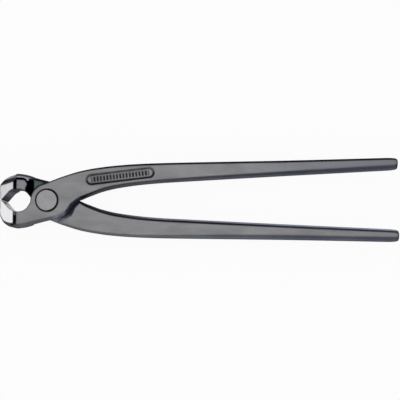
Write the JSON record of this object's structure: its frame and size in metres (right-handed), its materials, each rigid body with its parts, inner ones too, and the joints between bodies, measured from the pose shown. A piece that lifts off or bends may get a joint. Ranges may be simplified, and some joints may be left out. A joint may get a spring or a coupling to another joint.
{
  "type": "rebar tying pliers",
  "caption": "Long-handled end-cutting nippers for twisting and cutting tie wire: crossed forged halves with a lap joint on a flush rivet, ground jaws and a round mouth behind the edges.",
  "frame": {"origin": "centre of the pivot rivet's front end face, on the pivot axis", "axes": "+X from the jaws to the ends of the handles, +Z along the pivot axis out of the front half, +Y towards the front half's handle"},
  "size_m": [0.2476, 0.0528, 0.0221],
  "materials": {
    "forged_steel_front": "dark burnished forging, ground bright on the sides of the jaws",
    "forged_steel_rear": "dark burnished forging, ground bright on the sides of the jaws",
    "rivet_steel": "lighter grey steel, ground flush"
  },
  "bodies": {
    "rear": {"rear_half": "forged_steel_rear", "pivot_rivet": "rivet_steel"},
    "front": {"front_half": "forged_steel_front"}
  },
  "joints": [
    {"name": "pivot", "type": "hinge", "parent": "rear", "child": "front", "pos_m": [0, 0, -0.00675], "axis": [0, 0, 1], "range_deg": [0, 40]}
  ]
}
